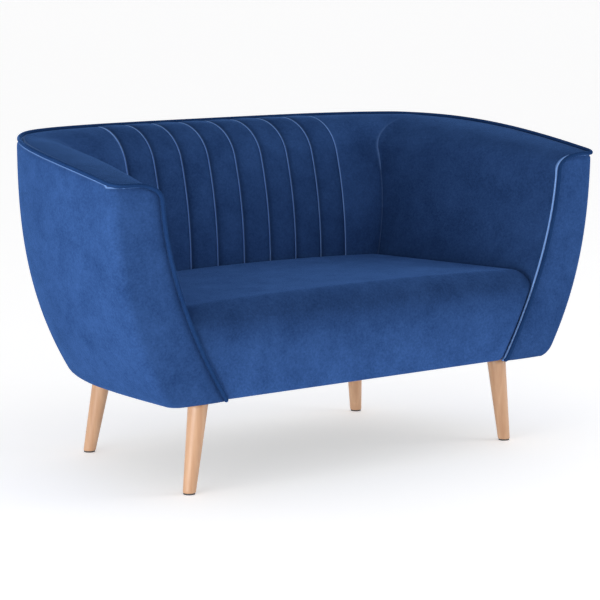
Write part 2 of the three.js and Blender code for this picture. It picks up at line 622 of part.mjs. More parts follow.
// Back ribs: plywood uprights screwed to the back of the back rail, shaped to carry the backrest.
function addBackRibs() {
  const top = BACK_HEIGHT - BACK_ROLL - PLY - 7;
  const footY = BACK_RAIL_Y + RAIL + CLEARANCE;
  const foot = RAIL_TOP - 28; // lap on the rail
  const shelf = PAD_BOTTOM + 2;
  const heights = [0, 0.2, 0.4, 0.6, 0.8, 1].map((t) => mix(shelf, top, t));
  for (const [side, x] of Object.entries({ left: -SEAM_X, centre: 0, right: SEAM_X })) {
    const rearY = (z) => outlineY(Math.abs(x) + PLY / 2, z, COVER + tuck(z)) - PLY_GAP;
    const points = [
      [footY, foot],
      [footY, shelf],
      ...heights.map((z) => [backY(z) + PAD + PLY_GAP, z]),
      ...heights.toReversed().map((z) => [rearY(z), z]),
      [rearY(foot), foot],
    ];
    add(`back_rib_${side}`, fitted(carriedAlongX(points, x - PLY / 2, x + PLY / 2)), plywood);
  }
}

// ---- Springs ----
const STRIP_REACH = BACK_RAIL_REACH - PLY_GAP;
const SPRING_SPAN = 2 * (STRIP_REACH - STRIP_MARGIN - SPRING_HALF_LOOP); // outermost to outermost
function springPath(x, y0, y1) {
  const pitch = (y1 - y0) / SPRING_LOOPS;
  const points = [];
  const bend = (dx, y) => {
    const arch = SPRING_ARCH * Math.sin((Math.PI * (y - y0)) / (y1 - y0));
    points.push(new THREE.Vector3(x + dx, y, SPRING_Z + arch));
  };
  for (let i = 0; i <= SPRING_LOOPS; i++) {
    const side = i % 2 ? 1 : -1;
    const y = y0 + i * pitch;
    bend(-side * SPRING_HALF_LOOP, y);
    bend(side * SPRING_HALF_LOOP, y);
    if (i < SPRING_LOOPS) bend(side * (SPRING_HALF_LOOP + pitch * 0.28), y + pitch / 2);
  }
  return new THREE.CatmullRomCurve3(points, false, "centripetal");
}

// A regular polygon, the section of a wire or cord.
function roundSection(radius, sides) {
  const section = new THREE.Shape();
  for (let i = 0; i < sides; i++) {
    const angle = (i / sides) * 2 * Math.PI;
    const corner = [radius * Math.cos(angle), radius * Math.sin(angle)];
    if (i) section.lineTo(...corner);
    else section.moveTo(...corner);
  }
  return section;
}

function addSprings() {
  const y0 = FRONT_RAIL_Y + RAIL / 2;
  const y1 = BACK_RAIL_Y + RAIL / 2;
  for (let i = 0; i < SPRINGS; i++) {
    const x = mix(-SPRING_SPAN / 2, SPRING_SPAN / 2, i / (SPRINGS - 1));
    const carried = { steps: 38, extrudePath: springPath(x, y0, y1), bevelEnabled: false };
    const spring = new THREE.ExtrudeGeometry(roundSection(WIRE_RADIUS, 4), carried);
    add(`zigzag_spring_${i + 1}`, spring, springSteel);
  }
  // Clip strips: a bent strip screwed to each rail, closed over the ends of the springs.
  const wall = 1.2;
  const width = 16;
  const z0 = RAIL_TOP + CLEARANCE;
  const z1 = SPRING_Z + WIRE_RADIUS + 2 * CLEARANCE + wall;
  const strip = (y, towards) =>
    carriedAlongX(
      [
        [y, z0],
        [y + towards * width, z0],
        [y + towards * width, z0 + wall],
        [y + towards * wall, z0 + wall],
        [y + towards * wall, z1 - wall],
        [y + towards * width, z1 - wall],
        [y + towards * width, z1],
        [y, z1],
      ],
      -STRIP_REACH,
      STRIP_REACH,
    );
  add("front_spring_clip_strip", strip(y0 - width / 2, 1), steel);
  add("back_spring_clip_strip", strip(y1 + width / 2, -1), steel);

  // Felt over the springs, arched as they are.
  const feltRows = 6;
  const sheet = warpedBlock(1, feltRows, 1, (u, v, w) => {
    const y = mix(y0 + width, y1 - width - PAD, v);
    const arch = SPRING_ARCH * Math.sin((Math.PI * (y - y0)) / (y1 - y0));
    const reachX = armX(y, SEAT_UNDERSIDE) - 8;
    return [mix(-reachX, reachX, u), y, FELT_TOP - SPRING_ARCH + arch - FELT * (1 - w)];
  });
  add("spring_felt", sheet, felt);
}

// ---- Legs and their fixings ----
const BLOCK_BOTTOM = SHELL_BOTTOM + 1.8;
const BLOCK_TOP = BLOCK_BOTTOM + 38;
const LEG_TOP = SHELL_BOTTOM - CLEARANCE;
// Where each right-hand leg's axis meets the shell, and how far it runs out per millimetre of fall.
const LEGS = [
  { name: "front", inset: 122.6, y: FRONT + 62, outX: 0.135, outY: -0.01 },
  { name: "back", inset: 75.9, y: UNDERSIDE_REAR - 94.2, outX: 0.14, outY: 0.12 },
];
for (const leg of LEGS) leg.x = outlineX(leg.y, SHELL_BOTTOM) - leg.inset;

function legAxis(leg) {
  return new THREE.Vector3(-leg.outX, -leg.outY, 1).normalize();
}

function addLegs() {
  const sides = 16;
  const hole = BOLT_RADIUS + 0.4;
  const teeBarrel = BOLT_RADIUS + 1.6;
  const slab = (z0, z1) => toSolid(box(-WIDTH, WIDTH, -DEPTH, DEPTH, z0, z1));
  for (const leg of LEGS) {
    const axis = legAxis(leg);
    const head = new THREE.Vector3(leg.x, leg.y, LEG_TOP);
    const along = (distance) => head.clone().addScaledVector(axis, distance);
    const length = LEG_TOP / axis.z;
    const overrun = 12;
    const taper = (LEG_TOP_RADIUS - LEG_FOOT_RADIUS) / length;
    const cone = turned(
      [
        [0, -length - overrun],
        [LEG_FOOT_RADIUS - taper * overrun, -length - overrun],
        [LEG_TOP_RADIUS + taper * overrun, overrun],
        [0, overrun],
      ],
      sides,
      head,
      axis,
    );
    const boltDepth = 42;
    const drill = (radius, from, to) =>
      toSolid(turned([[0, from], [radius, from], [radius, to], [0, to]], 8, head, axis));
    const body = toSolid(cone)
      .intersect(slab(GLIDE + CLEARANCE, LEG_TOP))
      .subtract(drill(hole, -boltDepth - 1, overrun));
    addPair(`${leg.name}_leg`, toGeometry(body), beech);

    const foot = along(-(LEG_TOP - GLIDE) / axis.z);
    const pad = new THREE.CylinderGeometry(LEG_FOOT_RADIUS - 1, LEG_FOOT_RADIUS - 1, GLIDE, 12)
      .rotateX(Math.PI / 2)
      .translate(foot.x, foot.y, GLIDE / 2);
    addPair(`${leg.name}_leg_glide`, pad, nylon);

    const seatAt = 28; // where the tee nut's flange sits, along the axis above the leg
    const block = toSolid(fitted(cornerBlock(leg)))
      .subtract(drill(teeBarrel + CLEARANCE, -5, 80))
      .subtract(drill(TEE_FLANGE_RADIUS + 1.5, seatAt, 80));
    addPair(`${leg.name}_corner_block`, toGeometry(block), pine);

    const bolt = turned(
      [
        [0, -boltDepth],
        [BOLT_RADIUS, -boltDepth + 3],
        [BOLT_RADIUS, seatAt + 4],
        [0, seatAt + 5],
      ],
      8,
      head,
      axis,
    );
    addPair(`${leg.name}_leg_bolt`, bolt, steel);

    const nut = turned(
      [
        [BOLT_RADIUS + 0.4, seatAt - 12],
        [teeBarrel, seatAt - 12],
        [teeBarrel, seatAt + CLEARANCE],
        [TEE_FLANGE_RADIUS, seatAt + CLEARANCE],
        [TEE_FLANGE_RADIUS, seatAt + 2],
        [BOLT_RADIUS + 0.4, seatAt + 2],
        [BOLT_RADIUS + 0.4, seatAt - 12],
      ],
      8,
      head,
      axis,
    );
    addPair(`${leg.name}_tee_nut`, nut, steel);
  }
}

// The block that a leg screws into, in the corner of the base frame and inside the shell.
function cornerBlock(leg) {
  const front = leg.name === "front";
  const y0 = front ? FRONT_RAIL_Y + RAIL + CLEARANCE : leg.y - 70;
  const y1 = front ? leg.y + 60 : BACK_RAIL_Y - CLEARANCE;
  const x0 = front ? leg.x - 45 : leg.x - 55;
  const reach = (y) => Math.min(sideRailX(y) - RAIL - CLEARANCE, coverInside(y, BLOCK_BOTTOM) - 1);
  const steps = 3;
  const outer = [];
  for (let i = 0; i <= steps; i++) outer.push([reach(mix(y0, y1, i / steps)), mix(y0, y1, i / steps)]);
  return plate([[x0, y0], ...outer, [x0, y1]], BLOCK_BOTTOM, BLOCK_TOP);
}

// ---- Underside ----
function addDustCover() {
  const z = SHELL_BOTTOM + CLEARANCE;
  const inset = COVER + 3;
  const cells = 12;
  const from = FRONT + APRON + 2;
  const rearmost = outlineY(0, z, inset) - BOTTOM_ROUND;
  const right = [[armFrontX(SHELL_BOTTOM) + 60, from]];
  for (let i = 0; i < cells; i++) {
    const angle = (i / cells) * (Math.PI / 2);
    const y = FRONT + (planDepth(z) - inset) * Math.sin(angle) ** (2 / PLAN_POWER);
    const x = outlineX(y, z, inset) - (BOTTOM_ROUND - 4) * Math.cos(angle);
    if (y > from) right.push([x, Math.min(y, rearmost)]);
  }
  const outline = [...right, ...right.toReversed().map(([x, y]) => [-x, y])];
  const holes = LEGS.flatMap(({ x, y }) => [[x, y, BOLT_RADIUS + 2], [-x, y, BOLT_RADIUS + 2]]);
  add("dust_cover", fitted(plate(outline, z, z + 1, holes)), cambric);
}

// ---- Piping: one cord round the front and top edges of the shell ----
function pipingPoints() {
  const y = FRONT - PIPE_RADIUS - CLEARANCE;
  const half = [];
  const rollFrom = ARM_HEIGHT - ARM_ROLL;
  for (const share of [-0.0035, 0.13, 0.29, 0.48, 0.66, 0.83, 1]) {
    const z = mix(SHELL_BOTTOM, rollFrom, share);
    half.push([armEdgeX(z) + 2, y, z]);
  }
  const faceX = armFrontX(rollFrom) + 2;
  for (const degrees of [20, 40, 60, 75]) {
    const angle = (degrees * Math.PI) / 180;
    const curve = 2 / ARM_ROLL_POWER;
    const px = mix(ARM_FRONT_RIM_X, faceX, Math.cos(angle) ** curve);
    half.push([px, y, rollFrom + ARM_ROLL * Math.sin(angle) ** curve + 1]);
  }
  for (const degrees of [0, 30, 60, 90]) {
    const angle = (degrees * Math.PI) / 180;
    const py = FRONT + CORNER_RADIUS - (CORNER_RADIUS + PIPE_RADIUS + CLEARANCE) * Math.cos(angle);
    const px = ARM_FRONT_RIM_X + (CORNER_RADIUS - PIPE_RADIUS) * Math.sin(angle);
    half.push([px, py, rimZ(py) + CLEARANCE]);
  }
  const handover = FRONT + SHELL_DEPTH * CORNER_DEPTH_SHARE;
  for (let i = 1; i <= 8; i++) {
    const py = mix(FRONT + CORNER_RADIUS, handover, i / 8);
    half.push([outlineX(py, rimZ(py), PIPE_RADIUS), py, rimZ(py) + CLEARANCE]);
  }
  for (const share of [0.78, 0.7, 0.58, 0.42, 0.22]) {
    const px = share * HALF_WIDTH;
    half.push([px, outlineY(px, BACK_HEIGHT, PIPE_RADIUS), BACK_HEIGHT + CLEARANCE]);
  }
  const middle = [[0, outlineY(0, BACK_HEIGHT, PIPE_RADIUS), BACK_HEIGHT + CLEARANCE]];
  return [...half.map(([px, ...rest]) => [-px, ...rest]), ...middle, ...half.reverse()];
}

function addPiping() {
  const points = pipingPoints().map((p) => new THREE.Vector3(...p));
  const path = new THREE.CatmullRomCurve3(points, false, "centripetal");
  const carried = { steps: PIPE_STEPS, extrudePath: path, bevelEnabled: false };
  const cord = new THREE.ExtrudeGeometry(roundSection(PIPE_RADIUS, PIPE_SIDES), carried);
  add("edge_piping", cord, velvet);
}

addOutsidePanels();
addPads();
addSeat();
addBaseFrame();
addArmFrames();
addTopRails();
addBackRibs();
addSprings();
addLegs();
addDustCover();
addPiping();

export default sofa;
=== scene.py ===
import math

import bmesh
import bpy
import numpy as np
from mathutils import Matrix, Vector


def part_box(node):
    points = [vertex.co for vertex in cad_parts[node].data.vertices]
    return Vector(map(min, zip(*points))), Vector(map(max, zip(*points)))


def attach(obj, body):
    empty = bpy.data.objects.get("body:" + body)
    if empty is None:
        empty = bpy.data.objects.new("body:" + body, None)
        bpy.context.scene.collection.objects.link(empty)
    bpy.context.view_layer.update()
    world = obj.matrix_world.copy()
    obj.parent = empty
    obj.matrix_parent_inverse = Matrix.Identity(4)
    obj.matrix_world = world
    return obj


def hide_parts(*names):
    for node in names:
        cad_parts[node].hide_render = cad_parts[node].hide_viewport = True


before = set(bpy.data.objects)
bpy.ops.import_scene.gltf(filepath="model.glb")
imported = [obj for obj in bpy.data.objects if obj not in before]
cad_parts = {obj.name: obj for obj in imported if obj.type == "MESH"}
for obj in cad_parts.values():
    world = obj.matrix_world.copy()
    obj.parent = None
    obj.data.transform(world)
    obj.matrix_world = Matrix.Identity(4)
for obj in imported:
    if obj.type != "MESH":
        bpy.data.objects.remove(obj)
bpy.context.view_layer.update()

# ---- Places taken from the frame ----
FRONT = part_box("outside_arm_panel_right")[0][1]
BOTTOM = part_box("outside_back_panel")[0][2]
HALF_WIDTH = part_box("edge_piping")[1][0]
RIM_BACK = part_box("edge_piping")[1][1]
RIM_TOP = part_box("edge_piping")[1][2] - 0.0045  # middle of the piping along the back
DEPTH = RIM_BACK - FRONT
SEAT_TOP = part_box("seat_cover")[1][2]
SEAT_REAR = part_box("seat_cover")[1][1]
CHANNEL_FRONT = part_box("channelled_back_cover")[0][1]
PAD_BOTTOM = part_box("channelled_back_cover")[0][2]

# ---- Form of the shell ----
SIDE_FLARE = 0.132  # how much wider each side is at the rim than at the underside
BACK_FLARE = 0.040
FLARE_POWER = 2.7
PLAN_POWER = 3.7  # exponent of the superellipse that the plan follows
CORNER_RADIUS = 0.025  # front vertical edges of the arms
BOTTOM_ROUND = 0.022  # where the cover turns under the shell
UNDER_SHARE = 0.9  # how much of that turn the cover makes
ARM_FALL = 0.069  # of the rim, from the back to the front
FALL_LENGTH = 0.583
FALL_POWER = 1.5
ARM_TOP = RIM_TOP - ARM_FALL
ARM_THICKNESS = 0.122  # across the top of an arm's front
ARM_FACE_LEAN = 0.164  # how much further in the arm's inner face is at the underside
ARM_FACE_POWER = 1.85
ARM_CLOSING = 0.122  # how much further in that face is at the back, near its top
ARM_FOOT_CLOSING = 0.025  # and at the underside
ARM_CLOSING_POWER = 2.4
ARM_RUN = 0.520  # depth over which it closes in
ARM_ROLL = 0.046  # height of the rounded top of the arms at their front
BACK_ROLL = 0.080  # and of the back
ARM_ROLL_POWER = 2.7
BACK_ROLL_POWER = 2.0
PITCH = 0.0773  # of the back's channels
CHANNELS = 8
BULGE = 0.0105
SEAM_X = PITCH * CHANNELS / 2
SEAM_Y = CHANNEL_FRONT + 0.009
CORNER_SHARE = 0.85  # where on the plan the arms hand over to the back
CORNER_DEPTH_SHARE = (1 - CORNER_SHARE**PLAN_POWER) ** (1 / PLAN_POWER)
REAR_SEAM_SHARE = 0.62  # seam between the outside arm and the outside back
LEAN = 0.045  # how far the backrest leans back, between two heights
LEAN_FROM = 0.400
LEAN_TO = 0.693
LEAN_POWER = 2.2


def mix(a, b, t):
    return a + (b - a) * t


def positive(value):
    return np.maximum(0.0, value)


def flare(z):
    return (positive(RIM_TOP - z) / (RIM_TOP - BOTTOM)) ** FLARE_POWER


def half_width(z):
    return HALF_WIDTH - SIDE_FLARE * flare(z)


def plan_depth(z):
    return DEPTH - BACK_FLARE * flare(z)


def tuck(z):
    """How far the cover draws in where it turns under the shell."""
    below = positive(BOTTOM + BOTTOM_ROUND - z)
    return BOTTOM_ROUND - np.sqrt(positive(BOTTOM_ROUND**2 - UNDER_SHARE * below**2))


def outline_x(y, z, inset=0.0):
    share = np.clip((y - FRONT) / (plan_depth(z) - inset), 0, 1)
    return (half_width(z) - inset) * positive(1 - share**PLAN_POWER) ** (1 / PLAN_POWER)


def outline_y(x, z, inset=0.0):
    share = np.clip(np.abs(x) / (half_width(z) - inset), 0, 1)
    return FRONT + (plan_depth(z) - inset) * positive(1 - share**PLAN_POWER) ** (1 / PLAN_POWER)


def rim_z(y):
    return RIM_TOP - ARM_FALL * (positive(FRONT + FALL_LENGTH - y) / FALL_LENGTH) ** FALL_POWER


ROLL_GROWN = FRONT + DEPTH * CORNER_DEPTH_SHARE - 0.015  # the roll has its full height behind this


def roll_share(y):
    return np.clip((y - FRONT) / (ROLL_GROWN - FRONT), 0, 1) ** 2


def roll_height(y):
    return mix(ARM_ROLL, BACK_ROLL, roll_share(y))


def roll_power(y):
    return mix(ARM_ROLL_POWER, BACK_ROLL_POWER, roll_share(y))


def below_arm(z):
    return positive(ARM_TOP - z) / (ARM_TOP - BOTTOM)


def arm_front_x(z):
    return HALF_WIDTH - ARM_THICKNESS - ARM_FACE_LEAN * below_arm(z) ** ARM_FACE_POWER


def arm_x(y, z):
    closing = ARM_CLOSING - (ARM_CLOSING - ARM_FOOT_CLOSING) * below_arm(z) ** ARM_CLOSING_POWER
    return arm_front_x(z) - closing * (y - FRONT) / ARM_RUN


def back_y(z):
    return SEAM_Y + LEAN * (positive(z - LEAN_FROM) / (LEAN_TO - LEAN_FROM)) ** LEAN_POWER


def edge_x(z):
    """Inner edge of an arm's front face, over the rounded top to the outer edge."""
    start = ARM_TOP - ARM_ROLL
    rise = np.clip((z - start) / ARM_ROLL, 0, 1)
    reach = (1 - rise**ARM_ROLL_POWER) ** (1 / ARM_ROLL_POWER)
    rim = HALF_WIDTH - CORNER_RADIUS
    return np.where(z <= start, arm_front_x(z), rim - (rim - arm_front_x(start)) * reach)


# ---- Mesh helpers ----
def new_object(name, vertices, faces, material):
    mesh = bpy.data.meshes.new(name)
    mesh.from_pydata([tuple(v) for v in vertices], [], faces)
    mesh.validate()
    mesh.update()
    obj = bpy.data.objects.new(name, mesh)
    bpy.context.scene.collection.objects.link(obj)
    mesh.materials.append(material)
    mesh.shade_smooth()
    return obj


def slab(name, front, rear, material, highlight_sides="lrt", reach=0.0018):
    """A closed piece between two grids of points, each shaped (rows, columns, 3).

    The letters l, r, t and b name the sides of the front grid (left, right, top and bottom) that get a
    painted highlight along their seam; it fades out within the reach."""
    rows, columns = front.shape[:2]
    vertices = np.concatenate([front.reshape(-1, 3), rear.reshape(-1, 3)])
    offset = rows * columns
    faces = []
    for r in range(rows - 1):
        for c in range(columns - 1):
            a = r * columns + c
            quad = (a, a + 1, a + columns + 1, a + columns)
            faces.append(quad)
            faces.append(tuple(i + offset for i in reversed(quad)))
    ring = list(range(columns))
    ring += [r * columns + columns - 1 for r in range(1, rows)]
    ring += [(rows - 1) * columns + c for c in range(columns - 2, -1, -1)]
    ring += [r * columns for r in range(rows - 2, 0, -1)]
    for a, b in zip(ring, ring[1:] + ring[:1]):
        faces.append((b, a, a + offset, b + offset))
    obj = new_object(name, vertices, faces, material)
    # painted highlight along the named sides of the front grid
    write_face(obj, "painted_highlight", near_sides(front, highlight_sides, reach))
    outwards(obj)
    return obj


def write_face(obj, name, values):
    """Gives a slab a named value at each point of its front grid, and 0 elsewhere."""
    written = np.zeros(len(obj.data.vertices))
    written[: values.size] = values.ravel()
    obj.data.attributes.new(name, "FLOAT", "POINT").data.foreach_set("value", written)


def paint_shading(obj, shades):
    """Painted light and shade on a slab's face: lighter above 0 and darker below."""
    write_face(obj, "painted_shading", shades)


def near_sides(grid, sides, reach):
    """1 at the named sides of a grid, and falling to 0 away from them."""
    across = np.linalg.norm(np.diff(grid, axis=1), axis=2).cumsum(axis=1)
    across = np.concatenate([np.zeros((grid.shape[0], 1)), across], axis=1)
    up = np.linalg.norm(np.diff(grid, axis=0), axis=2).cumsum(axis=0)
    up = np.concatenate([np.zeros((1, grid.shape[1])), up], axis=0)
    away = {"l": across, "r": across[:, -1:] - across, "b": up, "t": up[-1:] - up}
    nearest = np.min([away[side] for side in sides], axis=0)
    return np.exp(-((nearest / reach) ** 2))


def outwards(obj):
    mesh = bmesh.new()
    mesh.from_mesh(obj.data)
    bmesh.ops.recalc_face_normals(mesh, faces=mesh.faces)
    mesh.to_mesh(obj.data)
    mesh.free()


def tube_faces(count, sides):
    """Faces round a stack of rings of points, with the first and last ring closed."""
    faces = []
    for r in range(count - 1):
        for s in range(sides):
            t = (s + 1) % sides
            faces.append((r * sides + s, r * sides + t, (r + 1) * sides + t, (r + 1) * sides + s))
    faces.append(tuple(range(sides))[::-1])
    faces.append(tuple(range((count - 1) * sides, count * sides)))
    return faces


def swept(name, points, radius, material, sides=14):
    """A round cord along points, with closed, slightly rounded ends."""
    points = np.asarray(points, dtype=float)
    steps = np.diff(points, axis=0)
    tangents = np.vstack([steps[:1], steps[1:] + steps[:-1], steps[-1:]])
    tangents /= np.linalg.norm(tangents, axis=1)[:, None]
    normal = np.cross(tangents[0], (0, 1, 0))
    normal /= np.linalg.norm(normal)
    angles = np.linspace(0, 2 * np.pi, sides, endpoint=False)
    rings = []
    for index, (point, tangent) in enumerate(zip(points, tangents)):
        normal = normal - tangent * np.dot(normal, tangent)
        normal /= np.linalg.norm(normal)
        side = np.cross(tangent, normal)
        size = radius * (0.6 if index in (0, len(points) - 1) else 1.0)
        rings.append(point + size * (np.cos(angles)[:, None] * normal + np.sin(angles)[:, None] * side))
    obj = new_object(name, np.concatenate(rings), tube_faces(len(rings), sides), material)
    outwards(obj)
    return obj


def flipped(points):
    """Mirror image of a grid of points in the middle plane."""
    return points * np.array([-1.0, 1.0, 1.0])


def smooth_path(points, count):
    """Points at even steps along a smooth curve through the given points."""
    points = np.asarray(points, dtype=float)
    padded = np.vstack([2 * points[0] - points[1], points, 2 * points[-1] - points[-2]])
    fine = []
    for i in range(1, len(padded) - 2):
        p0, p1, p2, p3 = padded[i - 1 : i + 3]
        for t in np.linspace(0, 1, 24, endpoint=False):
            a = 2 * p1 + (p2 - p0) * t + (2 * p0 - 5 * p1 + 4 * p2 - p3) * t**2
            fine.append(0.5 * (a + (3 * p1 - p0 - 3 * p2 + p3) * t**3))
    fine.append(points[-1])
    fine = np.array(fine)
    lengths = np.concatenate([[0], np.cumsum(np.linalg.norm(np.diff(fine, axis=0), axis=1))])
    even = np.linspace(0, lengths[-1], count)
    return np.stack([np.interp(even, lengths, fine[:, k]) for k in range(3)], axis=1)


# ---- Materials ----
def material(name):
    made = bpy.data.materials.new(name)
    made.use_nodes = True
    nodes = made.node_tree.nodes
    shader = nodes["Principled BSDF"]
    place = nodes.new("ShaderNodeTexCoord")
    return made, nodes, made.node_tree.links, shader, place.outputs["Object"]


def noise(nodes, links, place, scale, detail=3.0, roughness=0.5, stretch=None):
    texture = nodes.new("ShaderNodeTexNoise")
    texture.inputs["Scale"].default_value = scale
    texture.inputs["Detail"].default_value = detail
    texture.inputs["Roughness"].default_value = roughness
    if stretch:
        mapping = nodes.new("ShaderNodeMapping")
        mapping.inputs["Scale"].default_value = stretch
        links.new(place, mapping.inputs["Vector"])
        place = mapping.outputs["Vector"]
    links.new(place, texture.inputs["Vector"])
    return texture.outputs["Fac"]


def ramp(nodes, links, value, stops):
    node = nodes.new("ShaderNodeValToRGB")
    elements = node.color_ramp.elements
    while len(elements) < len(stops):
        elements.new(0.5)
    for element, (position, colour) in zip(elements, stops):
        element.position = position
        element.color = (*colour, 1)
    links.new(value, node.inputs["Fac"])
    return node.outputs["Color"]


def bump(nodes, links, height, strength, distance, below=None):
    node = nodes.new("ShaderNodeBump")
    node.inputs["Strength"].default_value = strength
    node.inputs["Distance"].default_value = distance
    links.new(height, node.inputs["Height"])
    if below:
        links.new(below, node.inputs["Normal"])
    return node.outputs["Normal"]


def blended(nodes, links, a, b, share):
    node = nodes.new("ShaderNodeMix")
    node.inputs["Factor"].default_value = share
    links.new(a, node.inputs["A"])
    links.new(b, node.inputs["B"])
    return node.outputs["Result"]


def with_painted_shading(nodes, links, pile):
    """Painted light and shade: the colour is made lighter or darker by the value a piece carries for it.
    """
    painted_shading = nodes.new("ShaderNodeAttribute")
    painted_shading.attribute_name = "painted_shading"
    value = nodes.new("ShaderNodeMath")
    value.inputs[1].default_value = 1.0
    links.new(painted_shading.outputs["Fac"], value.inputs[0])
    shaded = nodes.new("ShaderNodeHueSaturation")
    links.new(value.outputs["Value"], shaded.inputs["Value"])
    links.new(pile, shaded.inputs["Color"])
    return shaded.outputs["Color"]


def velvet(name, deep, lit, sheen, sheen_roughness=0.28):
    """Short pile: clouded where the nap lies differently, fine fibre grain and a sheen that is bright at
    grazing angles.
    A painted highlight lightens it along marked seams and creases, and painted light and shade lighten or
    darken stretches."""
    made, nodes, links, shader, place = material(name)
    nap = noise(nodes, links, place, 14.0, 6.0, 0.68)
    flecks = noise(nodes, links, place, 190.0, 4.0, 0.7)
    fibre = noise(nodes, links, place, 900.0, 2.0, 0.7)
    clouded = blended(nodes, links, nap, flecks, 0.5)
    shade = blended(nodes, links, clouded, fibre, 0.2)
    # painted light and shade from each piece's values
    pile = with_painted_shading(nodes, links, ramp(nodes, links, shade, [(0.33, deep), (0.67, lit)]))
    # painted highlight: the colour is mixed towards a light blue along the seams and creases a piece
    # marks
    painted_highlight = nodes.new("ShaderNodeAttribute")
    painted_highlight.attribute_name = "painted_highlight"
    highlighted = nodes.new("ShaderNodeMix")
    highlighted.data_type = "RGBA"
    highlighted.inputs["B"].default_value = (0.26, 0.46, 0.90, 1)
    links.new(painted_highlight.outputs["Fac"], highlighted.inputs["Factor"])
    links.new(pile, highlighted.inputs["A"])
    links.new(highlighted.outputs["Result"], shader.inputs["Base Color"])
    shader.inputs["Roughness"].default_value = 0.9
    shader.inputs["Specular IOR Level"].default_value = 0.0
    shader.inputs["Sheen Weight"].default_value = sheen
    shader.inputs["Sheen Roughness"].default_value = sheen_roughness
    shader.inputs["Sheen Tint"].default_value = (0.17, 0.40, 1.0, 1)
    soft = bump(nodes, links, clouded, 0.45, 0.003)
    links.new(bump(nodes, links, fibre, 0.4, 0.0006, soft), shader.inputs["Normal"])
    return made


def timber(name, dark, light, scale, rough):
    """Straight grain along Z, with fine pores and slow colour change."""
    made, nodes, links, shader, place = material(name)
    grain = noise(nodes, links, place, scale, 5.0, 0.55, (14.0, 14.0, 0.9))
    pores = noise(nodes, links, place, scale * 9, 3.0, 0.6, (9.0, 9.0, 0.5))
    links.new(ramp(nodes, links, grain, [(0.32, dark), (0.7, light)]), shader.inputs["Base Color"])
    shader.inputs["Roughness"].default_value = rough
    shader.inputs["Coat Weight"].default_value = 0.25
    shader.inputs["Coat Roughness"].default_value = 0.3
    links.new(bump(nodes, links, pores, 0.12, 0.0004), shader.inputs["Normal"])
    return made


def metal(name, colour, rough):
    made, nodes, links, shader, place = material(name)
    scratches = noise(nodes, links, place, 60.0, 4.0, 0.6, (1.0, 12.0, 1.0))
    lighter = tuple(min(1.0, c * 1.25) for c in colour)
    links.new(ramp(nodes, links, scratches, [(0.3, colour), (0.7, lighter)]), shader.inputs["Base Color"])
    shader.inputs["Metallic"].default_value = 1.0
    shader.inputs["Roughness"].default_value = rough
    links.new(bump(nodes, links, scratches, 0.1, 0.0002), shader.inputs["Normal"])
    return made


def matte(name, dark, light, scale, rough=0.9, depth=0.0006):
    made, nodes, links, shader, place = material(name)
    grain = noise(nodes, links, place, scale, 4.0, 0.65)
    links.new(ramp(nodes, links, grain, [(0.3, dark), (0.7, light)]), shader.inputs["Base Color"])
    shader.inputs["Roughness"].default_value = rough
    links.new(bump(nodes, links, grain, 0.4, depth), shader.inputs["Normal"])
    return made


VELVET = velvet("velvet", (0.012, 0.036, 0.118), (0.036, 0.092, 0.262), 0.32)
# the piping is a darker copy of the velvet: painted shade for the middle of the cord, while its stronger
# sheen is the shader's own
PIPING = velvet("piping_velvet", (0.008, 0.026, 0.090), (0.016, 0.050, 0.150), 0.7, 0.2)
BEECH = timber("beech", (0.44, 0.235, 0.125), (0.56, 0.335, 0.198), 5.0, 0.42)
PLYWOOD = timber("plywood", (0.42, 0.29, 0.16), (0.62, 0.46, 0.28), 3.0, 0.7)
PINE = timber("pine", (0.52, 0.36, 0.19), (0.72, 0.55, 0.33), 2.4, 0.7)
ZINC = metal("zinc_steel", (0.48, 0.49, 0.5), 0.34)
WIRE = metal("spring_wire", (0.12, 0.12, 0.13), 0.4)
FELT = matte("felt", (0.09, 0.09, 0.1), (0.22, 0.22, 0.23), 260.0)
CAMBRIC = matte("cambric", (0.008, 0.008, 0.009), (0.02, 0.02, 0.022), 700.0)
NYLON = matte("nylon", (0.03, 0.03, 0.032), (0.055, 0.055, 0.06), 90.0, 0.5, 0.0002)

FRAME_FINISH = [
    ("seat_rail", PINE),
    ("stretcher", PINE),
    ("corner_block", PINE),
    ("arm_front_frame", PLYWOOD),
    ("arm_rear_post", PLYWOOD),
    ("top_rail", PLYWOOD),
    ("back_rib", PLYWOOD),
    ("bolt", ZINC),
    ("tee_nut", ZINC),
    ("clip_strip", ZINC),
    ("zigzag", WIRE),
    ("spring_felt", FELT),
    ("dust_cover", CAMBRIC),
    ("glide", NYLON),
]


def finish_frame():
    for node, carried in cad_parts.items():
        for word, finish in FRAME_FINISH:
            if word in node:
                carried.data.materials.clear()
                carried.data.materials.append(finish)


# ---- Cloth ----
PRESSURE = 4
LAST_FRAME = 20


